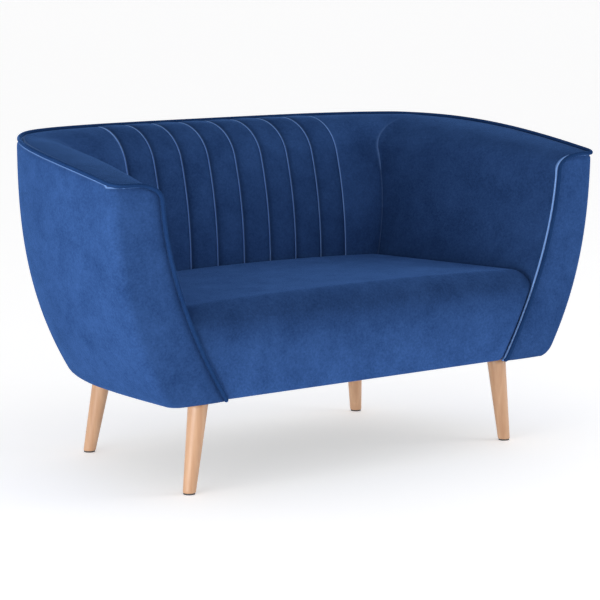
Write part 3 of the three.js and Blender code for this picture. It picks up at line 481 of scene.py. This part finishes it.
def swollen(obj, shape, most, edges, crease=None):
    """Blows up the face of a slab as cloth, between its sewn edges, and lets no point move past most.

    shape is the rows and columns of its face. The back and the outer edges stay, and so does a
    crease down one column, as far up as the face reaches."""
    scene = bpy.context.scene
    rows, columns = shape
    before = vertices_of(obj)
    free = np.zeros((rows, columns), dtype=bool)
    free[edges : rows - edges, edges : columns - edges] = True
    if crease is not None:
        free[:FACE_ROWS, crease - 1 : crease + 2] = False
    held = np.ones(len(before), dtype=bool)
    held[: rows * columns] = ~free.ravel()
    group = obj.vertex_groups.new(name="held")
    group.add(np.nonzero(held)[0].tolist(), 1.0, "REPLACE")
    cloth = obj.modifiers.new("cloth", "CLOTH")
    cloth.settings.quality = 4
    cloth.settings.mass = 0.3
    cloth.settings.use_pressure = True
    cloth.settings.uniform_pressure_force = PRESSURE
    cloth.settings.tension_stiffness = 20
    cloth.settings.compression_stiffness = 20
    cloth.settings.shear_stiffness = 8
    cloth.settings.bending_stiffness = 1.5
    cloth.settings.vertex_group_mass = "held"
    cloth.settings.effector_weights.gravity = 0
    cloth.collision_settings.use_self_collision = False
    for number in range(1, LAST_FRAME + 1):
        scene.frame_set(number)
    move = vertices_of(obj, evaluated=True) - before
    obj.modifiers.remove(cloth)
    scene.frame_set(1)
    furthest = np.linalg.norm(move, axis=1).max()
    move *= min(1.0, most / max(furthest, 1e-9))
    obj.data.vertices.foreach_set("co", (before + move).ravel())
    obj.data.update()
    obj.vertex_groups.clear()
    subdivide(obj, 1)


def vertices_of(obj, evaluated=False):
    source = obj.evaluated_get(bpy.context.evaluated_depsgraph_get()) if evaluated else obj
    flat = np.empty(len(source.data.vertices) * 3)
    source.data.vertices.foreach_get("co", flat)
    return flat.reshape(-1, 3)


def apply_all(obj):
    """Bakes the modifiers into the mesh."""
    graph = bpy.context.evaluated_depsgraph_get()
    baked = bpy.data.meshes.new_from_object(obj.evaluated_get(graph))
    obj.modifiers.clear()
    obj.data = baked
    obj.data.shade_smooth()


def subdivide(obj, levels):
    subdivision = obj.modifiers.new("smooth", "SUBSURF")
    subdivision.levels = levels
    subdivision.render_levels = levels
    apply_all(obj)


# ---- Outside of the shell ----
COVER = 0.008
GROOVE = 0.004  # how far the cover is drawn in under the piping
GROOVE_REACH = 0.006
FACE_GROOVE = 0.8  # share of it on the flat front of the arms
TOP_DROP = 0.0035  # from the middle of the piping down to the edge of the cover
SEAM_DRAW = 0.003  # how far the upright seams are drawn in
SEAM_REACH = 0.005
SEAM_HALF_GAP = 0.0006
FACE_SWELL = 0.0016
ROWS = 56
ROW_EASING = 0.6


def panel_rows(top):
    """Heights up a panel, closer together at its foot and its top."""
    even = np.linspace(0, 1, ROWS)[:, None]
    eased = 0.5 - 0.5 * np.cos(np.pi * even)
    return BOTTOM + (top - BOTTOM) * mix(even, eased, ROW_EASING)


def edge_dip(z, top):
    """The cover is drawn in where the piping is sewn along the top edge."""
    return GROOVE * np.exp(-(((top - z) / GROOVE_REACH) ** 2))


def seam_dip(away):
    """The cover is drawn in beside an upright seam."""
    return SEAM_DRAW * np.exp(-((away / SEAM_REACH) ** 2))


def side_points(inset):
    """Right-hand outside panel: front face, rounded front corner, side and rear corner."""
    face, arc, side, rear = 22, 14, 60, 26
    cells = face + arc + side + rear
    index = np.arange(cells + 1)[None, :]
    top_y = np.full(cells + 1, FRONT)
    on_side = (index[0] > face + arc) & (index[0] <= face + arc + side)
    handover = FRONT + DEPTH * CORNER_DEPTH_SHARE
    top_y[on_side] = mix(FRONT + CORNER_RADIUS, handover, (index[0][on_side] - face - arc) / side)
    on_rear = index[0] > face + arc + side
    rear_shares = mix(CORNER_SHARE, REAR_SEAM_SHARE, 1 - (1 - np.arange(rear + 1) / rear) ** 1.8)
    rear_share = rear_shares[index[0][on_rear] - face - arc - side]
    top_y[on_rear] = outline_y(rear_share * HALF_WIDTH, RIM_TOP)
    top = rim_z(top_y)[None, :] - TOP_DROP
    z = panel_rows(top)
    drawn = inset + tuck(z) + edge_dip(z, top)
    x = np.zeros_like(z)
    y = np.zeros_like(z)
    crease = half_width(z) - tuck(z) - CORNER_RADIUS
    for c in range(cells + 1):
        zc = z[:, c]
        if c <= face:
            share = (c / face) ** 1.7
            x[:, c] = mix(np.minimum(edge_x(zc), crease[:, c] - 0.002), crease[:, c], share)
            swell = FACE_SWELL * np.sin(np.pi * share) - 0.6 * GROOVE * (1 - share) ** 8
            y[:, c] = FRONT + inset - swell + edge_dip(zc, top[:, c]) * FACE_GROOVE
        elif c <= face + arc:
            angle = (c - face) / arc * np.pi / 2
            radius = CORNER_RADIUS - inset
            centre = outline_x(FRONT + CORNER_RADIUS, zc, drawn[:, c]) - radius
            x[:, c] = centre + radius * np.sin(angle)
            dip = edge_dip(zc, top[:, c]) * np.cos(angle) * FACE_GROOVE
            y[:, c] = FRONT + CORNER_RADIUS - radius * np.cos(angle) + dip
        elif c <= face + arc + side:
            end = FRONT + (plan_depth(zc) - drawn[:, c]) * CORNER_DEPTH_SHARE
            y[:, c] = mix(FRONT + CORNER_RADIUS, end, (c - face - arc) / side)
            x[:, c] = outline_x(y[:, c], zc, drawn[:, c])
        else:
            share = rear_shares[c - face - arc - side]
            x[:, c] = share * (half_width(zc) - drawn[:, c])
            away = (share - REAR_SEAM_SHARE) * HALF_WIDTH
            y[:, c] = outline_y(x[:, c], zc, drawn[:, c]) - seam_dip(away)
    return np.stack([x, y, z], axis=2)


def rear_points(inset):
    """Outside of the back, between its two upright seams."""
    cells = 90
    across = np.sin(np.linspace(-np.pi / 2, np.pi / 2, cells + 1))[None, :]
    top = np.full_like(across, RIM_TOP - TOP_DROP)
    z = panel_rows(top)
    drawn = inset + tuck(z) + edge_dip(z, top)
    x = across * (REAR_SEAM_SHARE * (half_width(z) - drawn) - SEAM_HALF_GAP)
    away = (1 - np.abs(across)) * REAR_SEAM_SHARE * HALF_WIDTH
    return np.stack([x, outline_y(x, z, drawn) - seam_dip(away), z], axis=2)


def build_shell():
    outer, inner = side_points(0.0), side_points(COVER)
    for side, turn in (("right", lambda p: p), ("left", flipped)):
        panel = slab(f"shell_{side}", turn(outer), turn(inner), VELVET)
        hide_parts(f"outside_arm_panel_{side}")
        finish_piece(panel)
    back = slab("shell_back", rear_points(0.0), rear_points(COVER), VELVET)
    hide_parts("outside_back_panel")
    finish_piece(back)


def finish_piece(obj):
    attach(obj, "root")


# ---- Inner pads ----
FACE_ROWS = 40
ROLL_ROWS = 26
ARM_COLUMNS = 72
END_COLUMNS = 36
CHANNEL_COLUMNS = 27
PAD = 0.034
PAD_EDGE = 0.0075  # the pads end this far inside the outside panels
PAD_DROP = 0.001  # and this far below the middle of the piping
SEAM_GAP = 0.0001
END_CROWN = 0.008  # of the plain stretches of the back
ARM_SHADE = -0.22  # painted shade inside the arms
RIM_CORNER_Y = FRONT + DEPTH * CORNER_DEPTH_SHARE - PAD_EDGE


def padded_profile(face, rim):
    """Points up a pad's front and rear. face(z, depth) gives x and y; rim is where the roll ends.

    The roll of the front is a Bezier curve, as square as the superellipse of its power."""
    roll = roll_height(rim[1])
    start = rim[2] - roll
    squareness = (8 * 0.5 ** (1 / roll_power(rim[1])) - 4) / 3
    front, rear = [], []
    for z in np.linspace(PAD_BOTTOM, start, FACE_ROWS, endpoint=False):
        front.append((*face(z), z))
        rear.append((*face(z, PAD), z))
    foot, end = np.array([*face(start), start]), np.array(rim)
    inside = np.array(face(start, PAD))
    step = 0.004
    lean = (foot - np.array([*face(start - step), start - step])) / step
    up = foot + squareness * roll * lean
    level = end - squareness * np.array([*(end - foot)[:2], 0.0])
    for t in np.linspace(0, 1, ROLL_ROWS):
        rising = (1 - t) ** 3 * foot + 3 * t * (1 - t) ** 2 * up
        front.append(rising + 3 * t * t * (1 - t) * level + t**3 * end)
        place = mix(inside, end[:2] - 0.25 * (end[:2] - inside), t)
        rear.append((*place, mix(start, start + 0.55 * roll, t)))
    return np.array(front), np.array(rear)


def arm_strip(share):
    """One profile of the right arm's pad; share 0 is its front edge and 1 the corner with the back."""
    start = FRONT + 0.0015
    y = mix(start, RIM_CORNER_Y, share)
    before = max(0.0, FRONT + CORNER_RADIUS - y)
    corner_in = CORNER_RADIUS - math.sqrt(max(0.0, CORNER_RADIUS**2 - before**2))
    rim = (float(outline_x(y, rim_z(y), PAD_EDGE)) - corner_in, y, float(rim_z(y)) - PAD_DROP)
    sewn = 0.003 * math.exp(-((share / 0.01) ** 2))

    def face(z, depth=0.0):
        fy = mix(start, float(back_y(z)) + depth, share)
        return (float(arm_x(fy, z)) + depth + sewn, fy)

    return padded_profile(face, rim)


def end_strip(share):
    """One profile of the plain stretch of the back; share 0 is the corner and 1 the last channel."""
    crown = END_CROWN * (1 - abs(2 * share - 1) ** 3) ** 0.6
    corner_x = float(outline_x(RIM_CORNER_Y, RIM_TOP, PAD_EDGE))
    rim_x = mix(corner_x, SEAM_X, share)
    rim = (rim_x, float(outline_y(rim_x, RIM_TOP, PAD_EDGE)), RIM_TOP - PAD_DROP)

    def face(z, depth=0.0):
        y = float(back_y(z)) + depth
        out = crown if depth == 0 else 0.0
        return (mix(float(arm_x(y, z)) + depth, SEAM_X + SEAM_GAP, share), y - out)

    return padded_profile(face, rim)


def eased_corner(front, corner):
    """Rounds the corner between arm and back over the roll, more towards the top."""
    eased = front.copy()
    taps = np.linspace(-1, 1, 17)
    weights = 1 - 0.9 * np.abs(taps)
    first = 0.85 * FACE_ROWS
    last = FACE_ROWS + ROLL_ROWS - 1
    for row in range(math.floor(first) + 1, last + 1):
        up = (row - first) / (last - first)
        widest = 0.055 * math.sin(math.pi * min(1.0, 0.93 * up)) + 0.004
        steps = np.linalg.norm(np.diff(front[row], axis=0), axis=1)
        along = np.concatenate([[0], np.cumsum(steps)])
        near = np.clip(1 - np.abs(along - along[corner]) / 0.11, 0, 1)
        window = widest * near * near * (3 - 2 * near)
        places = along[:, None] + window[:, None] * taps[None, :]
        for k in range(3):
            eased[row, :, k] = np.interp(places, along, front[row, :, k]) @ weights / weights.sum()
    return eased


def arm_pad():
    """Right arm's pad, round the corner and on to the seam with the last channel."""
    even = np.linspace(0, 1, ARM_COLUMNS)
    arm_shares = mix(even, 0.5 - 0.5 * np.cos(np.pi * even), 0.75)
    end_shares = (0.5 - 0.5 * np.cos(np.pi * np.linspace(0, 1, END_COLUMNS)))[1:]
    strips = [arm_strip(share) for share in arm_shares] + [end_strip(share) for share in end_shares]
    front = np.stack([s[0] for s in strips], axis=1)
    rear = np.stack([s[1] for s in strips], axis=1)
    return eased_corner(front, ARM_COLUMNS - 1), rear


def channel_bulge(across):
    """Pillow section of a channel, across it from 0 to 1."""
    return BULGE * (1 - abs(2 * across - 1) ** 2.4) ** 0.7


def back_strip(x, bulge):
    """One profile of a channel, at x, standing out by its bulge."""
    rim_y = float(outline_y(x, RIM_TOP, PAD_EDGE))
    roll_from = RIM_TOP - BACK_ROLL

    def face(z, depth=0.0):
        return (x, float(back_y(z)) + depth - (bulge if depth == 0 else 0.0))

    front, rear = padded_profile(face, (x, rim_y, RIM_TOP - PAD_DROP))
    fade = np.clip((rim_y - front[:, 1]) / 0.05, 0, 1)
    raised = front[:, 2] > roll_from
    spread = np.clip((front[:, 2] - roll_from) / BACK_ROLL, 0, 1)
    front[:, 2] += np.where(raised, bulge * 0.55 * spread * fade, 0.0)
    front[:, 1] += np.where(raised, bulge * (1 - fade), 0.0)
    return front, rear


def build_channels():
    for number in range(CHANNELS):
        left = -SEAM_X + number * PITCH
        strips = []
        for across in 0.5 - 0.5 * np.cos(np.pi * np.linspace(0, 1, CHANNEL_COLUMNS)):
            x = left + SEAM_GAP + across * (PITCH - 2 * SEAM_GAP)
            strips.append(back_strip(x, channel_bulge(across)))
        front = np.stack([s[0] for s in strips], axis=1)
        rear = np.stack([s[1] for s in strips], axis=1)
        channel = slab(f"back_channel_{number + 1}", front, rear, VELVET)
        # painted shade: darker all over, and darkest beside the seams where the grooves are
        paint_shading(channel, -0.08 - 0.40 * near_sides(front, "lr", 0.009))
        swollen(channel, front.shape[:2], 0.0025, edges=3)
        if number == 0:
            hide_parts("channelled_back_cover", "channelled_back_foam")
        finish_piece(channel)


def paint_crease_highlight(pad, front):
    """Paints a highlight on the back's side of the corner between arm and back, fading out over the roll.
    """
    corner = ARM_COLUMNS - 1
    away = np.linalg.norm(front - front[:, corner : corner + 1], axis=2)
    # painted highlight beside the corner
    highlighted = 0.22 * np.exp(-((away / 0.004) ** 2))
    highlighted[:, :corner] = 0
    highlighted[FACE_ROWS:] *= np.linspace(1, 0, ROLL_ROWS)[:, None] ** 2
    painted_highlight = pad.data.attributes["painted_highlight"].data
    values = np.zeros(len(painted_highlight))
    painted_highlight.foreach_get("value", values)
    values[: highlighted.size] = np.maximum(values[: highlighted.size], highlighted.ravel())
    painted_highlight.foreach_set("value", values)


def arm_shades(shape):
    """Painted shade up the face of the arm's columns, fading out over the roll."""
    shades = np.zeros(shape)
    shades[:FACE_ROWS, :ARM_COLUMNS] = ARM_SHADE
    shades[FACE_ROWS:, :ARM_COLUMNS] = np.linspace(ARM_SHADE, 0, ROLL_ROWS)[:, None]
    return shades


def build_pads():
    front, rear = arm_pad()
    pad = slab("arm_pad_right", front, rear, VELVET)
    paint_crease_highlight(pad, front)
    paint_shading(pad, arm_shades(front.shape[:2]))
    swollen(pad, front.shape[:2], 0.006, edges=2, crease=ARM_COLUMNS - 1)
    twin = pad.copy()
    twin.data = pad.data.copy()
    twin.name = "arm_pad_left"
    bpy.context.scene.collection.objects.link(twin)
    twin.data.transform(Matrix.Scale(-1, 4, (1, 0, 0)))
    outwards(twin)
    for side, made in (("right", pad), ("left", twin)):
        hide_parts(f"inner_arm_cover_{side}", f"inner_arm_foam_{side}")
        finish_piece(made)


# ---- Seat ----
SEAT_GAP = 0.0035  # between the seat and each arm
SEAT_CROWN = 0.010  # how far its middle stands above its sides
SEAT_PULL = 0.004  # how far its front swells out in the middle
SIDE_DROP = 0.012  # of its sides below its highest point
NOSE = 0.052  # radius of its top front edge
SIDE_ROUND = 0.030
END_ROUND = 0.012
LIP = 0.010
SEAT_THICK = 0.055


def quarter(distance, radius):
    """How far a surface has fallen away this close to an edge rounded to the radius."""
    into = positive(radius - distance)
    return radius - np.sqrt(positive(radius**2 - into**2))


def seat_points():
    """Front, rounded nose and top of the seat. Its sides follow the arms and are rounded too."""
    bottom = BOTTOM + 0.0015
    side_top = SEAT_TOP - SIDE_DROP
    across, deep, tall = 80, 44, 30
    profile = [
        (FRONT + LIP - LIP * math.sin(a), bottom + LIP - LIP * math.cos(a), 0.0)
        for a in (0.0, 0.35, 0.7, 1.05)
    ]
    profile += [(FRONT, z, 0.0) for z in np.linspace(bottom + LIP, side_top - NOSE, tall)]
    profile += [
        (FRONT + NOSE - NOSE * math.cos(a), side_top - NOSE + NOSE * math.sin(a), math.sin(a))
        for a in np.linspace(0, np.pi / 2, 18)[1:]
    ]
    profile += [(y, side_top, 1.0) for y in np.linspace(FRONT + NOSE, SEAT_REAR, deep)[1:]]
    grid = np.zeros((len(profile), across + 1, 3))
    for r, (y, z, lift) in enumerate(profile):
        for c in range(across + 1):
            side = math.sin((2 * c / across - 1) * np.pi / 2)
            reach = float(arm_x(y, z)) - SEAT_GAP
            inside = (1 - abs(side)) * reach
            fall = float(quarter(inside, SIDE_ROUND)) * lift**2
            back = float(quarter(inside, END_ROUND)) * (1 - lift)
            height = np.clip((z - bottom) / (side_top - NOSE - bottom), 0, 1)
            pulled = SEAT_PULL * (1 - side**2) * math.sin(math.pi * height)
            crown = SEAT_CROWN * (1 - side**2) * lift
            new_z = z + crown - fall
            reach = float(arm_x(y, min(z, new_z))) - SEAT_GAP
            grid[r, c] = (side * reach, y + back - pulled, new_z)
    return grid


def seat_shades(front):
    """Painted shade in a band just under the top front edge, and painted light towards the foot and on
    the top.
    """
    up = (front[:, :, 2] - BOTTOM) / (SEAT_TOP - BOTTOM)
    onto_top = np.clip((front[:, :, 1] - FRONT) / NOSE, 0, 1)
    nose = -0.34 * np.exp(-(((up - 0.84) / 0.18) ** 2)) * (1 - onto_top) ** 0.5
    return nose + 0.32 * np.clip(1 - up / 0.6, 0, 1) * (1 - onto_top) + 0.34 * onto_top**2


def build_seat():
    front = seat_points()
    rear = front.copy()
    rear[:, :, 1] = np.minimum(front[:, :, 1] + SEAT_THICK, SEAT_REAR - 0.001)
    rear[:, :, 2] = np.maximum(front[:, :, 2] - SEAT_THICK, BOTTOM + 0.004)
    rear[:, :, 0] = front[:, :, 0] * 0.985
    # painted highlight along the seat's sides and its foot
    seat = slab("seat_cushion", front, rear, VELVET, "lrb", 0.0024)
    paint_shading(seat, seat_shades(front))
    swollen(seat, front.shape[:2], 0.006, edges=3)
    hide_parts("seat_cover", "seat_foam")
    finish_piece(seat)


# ---- Piping ----
PIPE_RADIUS = 0.0046
PIPE_GAP = 0.0006  # between the cord and the front of the arms
PIPE_SHIFT = 0.002  # outwards, from the inner edge of an arm's front


def piping_path():
    y = FRONT - PIPE_RADIUS - PIPE_GAP
    start = ARM_TOP - ARM_ROLL
    half = [(float(edge_x(BOTTOM)) + PIPE_SHIFT, FRONT + 0.002, BOTTOM + 0.002)]
    half += [(float(edge_x(z)) + PIPE_SHIFT, y, z) for z in np.linspace(BOTTOM + 0.008, start, 12)]
    face_x = float(arm_front_x(start)) + PIPE_SHIFT
    rim_x = HALF_WIDTH - CORNER_RADIUS
    curve = 2 / ARM_ROLL_POWER
    for degrees in (15, 30, 45, 60, 75):
        angle = math.radians(degrees)
        across = mix(rim_x, face_x, math.cos(angle) ** curve)
        half.append((across, y, start + ARM_ROLL * math.sin(angle) ** curve))
    for degrees in (5, 30, 60, 90):
        angle = math.radians(degrees)
        py = FRONT + CORNER_RADIUS - (CORNER_RADIUS + PIPE_RADIUS) * math.cos(angle)
        half.append((rim_x + (CORNER_RADIUS - PIPE_RADIUS) * math.sin(angle), py, float(rim_z(py))))
    handover = FRONT + DEPTH * CORNER_DEPTH_SHARE
    for share in np.linspace(0, 1, 13)[1:]:
        py = mix(FRONT + CORNER_RADIUS, handover, share)
        half.append((float(outline_x(py, rim_z(py), PIPE_RADIUS)), py, float(rim_z(py))))
    for share in (0.78, 0.7, 0.62, 0.5, 0.36, 0.18):
        px = share * HALF_WIDTH
        half.append((px, float(outline_y(px, RIM_TOP, PIPE_RADIUS)), RIM_TOP))
    half = np.array(half)
    middle = np.array([[0.0, float(outline_y(0.0, RIM_TOP, PIPE_RADIUS)), RIM_TOP]])
    return np.vstack([flipped(half), middle, half[::-1]])


def build_piping():
    path = smooth_path(piping_path(), 900)
    cord = swept("edge_cord", path, PIPE_RADIUS, PIPING)
    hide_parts("edge_piping")
    finish_piece(cord)


# ---- Legs ----
LEG_SIDES = 64


def end_ring(points, level):
    """Middle and radius of the ring of points at one end of a leg."""
    ring = points[np.abs(points[:, 2] - level) < 1e-5]
    low, high = ring.min(axis=0), ring.max(axis=0)
    return (low + high) / 2, (high[0] - low[0]) / 2


def build_legs():
    angles = np.linspace(0, 2 * np.pi, LEG_SIDES, endpoint=False)
    softened_foot = [(0.0, 0.90), (0.004, 0.97), (0.010, 1.0)]
    profile = softened_foot + [(t, 1.0) for t in np.linspace(0.03, 1.0, 12)]
    for name in ("front_leg_right", "front_leg_left", "back_leg_right", "back_leg_left"):
        points = vertices_of(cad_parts[name])
        foot, foot_radius = end_ring(points, points[:, 2].min())
        head, head_radius = end_ring(points, points[:, 2].max())
        vertices = []
        for t, scale in profile:
            centre = mix(foot, head, t)
            radius = mix(foot_radius, head_radius, t) * scale
            for a in angles:
                vertices.append(centre + radius * np.array([math.cos(a), math.sin(a), 0]))
        leg = new_object(name + "_turned", vertices, tube_faces(len(profile), LEG_SIDES), BEECH)
        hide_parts(name)
        finish_piece(leg)


# ---- Floor, light and camera ----
FLOOR_HALF = 90.0


def build_floor():
    half = FLOOR_HALF
    corners = [(-half, -half, 0), (half, -half, 0), (half, half, 0), (-half, half, 0)]
    made, nodes, links, shader, place = material("floor")
    speck = noise(nodes, links, place, 3.0)
    shade = ramp(nodes, links, speck, [(0.0, (0.93, 0.93, 0.94)), (1.0, (0.95, 0.95, 0.955))])
    links.new(shade, shader.inputs["Base Color"])
    shader.inputs["Roughness"].default_value = 0.7
    shader.inputs["Emission Color"].default_value = (1, 1, 1, 1)
    shader.inputs["Emission Strength"].default_value = 0.37
    floor = new_object("floor", corners, [(0, 1, 2, 3)], made)


def build_studio():
    """White surroundings, brightest at the horizon."""
    world = bpy.data.worlds.new("studio")
    bpy.context.scene.world = world
    world.use_nodes = True
    nodes, links = world.node_tree.nodes, world.node_tree.links
    height = nodes.new("ShaderNodeSeparateXYZ")
    links.new(nodes.new("ShaderNodeTexCoord").outputs["Generated"], height.inputs["Vector"])
    greys = ((0.0, 1.0), (0.12, 0.7), (1.0, 0.58))
    sky = ramp(nodes, links, height.outputs["Z"], [(up, (grey, grey, grey)) for up, grey in greys])
    links.new(sky, nodes["Background"].inputs["Color"])
    bpy.context.scene.view_settings.view_transform = "Standard"


def area_light(name, place, target, size, power):
    data = bpy.data.lights.new(name, "AREA")
    data.shape = "RECTANGLE"
    data.size, data.size_y = size
    data.energy = power
    light = bpy.data.objects.new(name, data)
    bpy.context.scene.collection.objects.link(light)
    light.location = place
    light.rotation_euler = (Vector(target) - Vector(place)).to_track_quat("-Z", "Y").to_euler()


def build_lights():
    area_light("key", (-3.2, -1.0, 0.40), (0.0, 0.0, 0.36), (2.2, 0.76), 64)
    area_light("front", (3.1, -2.6, 0.85), (0.0, 0.0, 0.4), (2.2, 1.1), 48)


CAMERA_AZIMUTH = math.radians(-37.55)
CAMERA_ELEVATION = math.radians(8.54)
CAMERA_DISTANCE = 5.34
CAMERA_TARGET = (0.077, 0.0384, 0.336)


def build_camera():
    data = bpy.data.cameras.new("camera")
    data.sensor_width = 36
    data.lens = 135
    camera = bpy.data.objects.new("camera", data)
    bpy.context.scene.collection.objects.link(camera)
    level = math.cos(CAMERA_ELEVATION)
    back = Vector(
        (
            math.sin(CAMERA_AZIMUTH) * level,
            -math.cos(CAMERA_AZIMUTH) * level,
            math.sin(CAMERA_ELEVATION),
        )
    )
    camera.location = Vector(CAMERA_TARGET) + CAMERA_DISTANCE * back
    camera.rotation_euler = (-back).to_track_quat("-Z", "Y").to_euler()
    bpy.context.scene.camera = camera


build_camera()
finish_frame()
build_shell()
build_channels()
build_pads()
build_seat()
build_piping()
build_legs()
build_floor()
build_studio()
build_lights()
